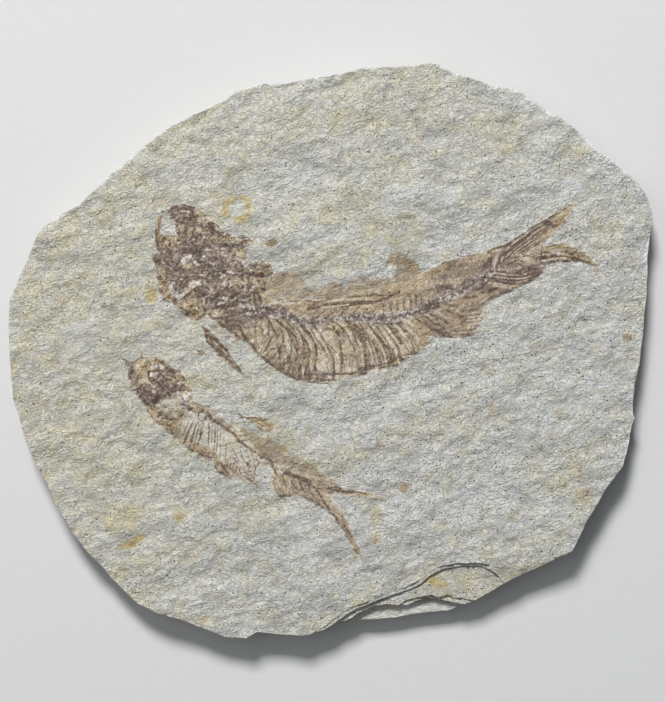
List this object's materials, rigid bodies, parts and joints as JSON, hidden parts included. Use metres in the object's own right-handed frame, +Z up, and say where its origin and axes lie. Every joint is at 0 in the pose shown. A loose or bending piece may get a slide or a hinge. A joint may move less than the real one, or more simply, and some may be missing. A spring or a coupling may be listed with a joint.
{
  "type": "fossil fish slab",
  "caption": "Broken limestone slab that lies flat, with the bones of a large and a small herring-like fish set in its split face.",
  "frame": {"origin": "middle of the slab's box on its underside, the plane that it rests on", "axes": "+Z up out of the split face that holds the fish; +X along the slab's longer side, towards the large fish's tail; +Y towards the large fish's back"},
  "size_m": [0.1612, 0.1444, 0.0101],
  "materials": {
    "limestone": "matte split rock, pale grey and cream with ochre stains",
    "fossil_bone": "dark brown mineralised bone with a faint sheen"
  },
  "bodies": {
    "root": {"slab": "limestone", "large_fish": "fossil_bone", "large_fish_pectoral_fin": "fossil_bone", "small_fish": "fossil_bone", "small_fish_dorsal_fin": "fossil_bone"}
  },
  "joints": []
}
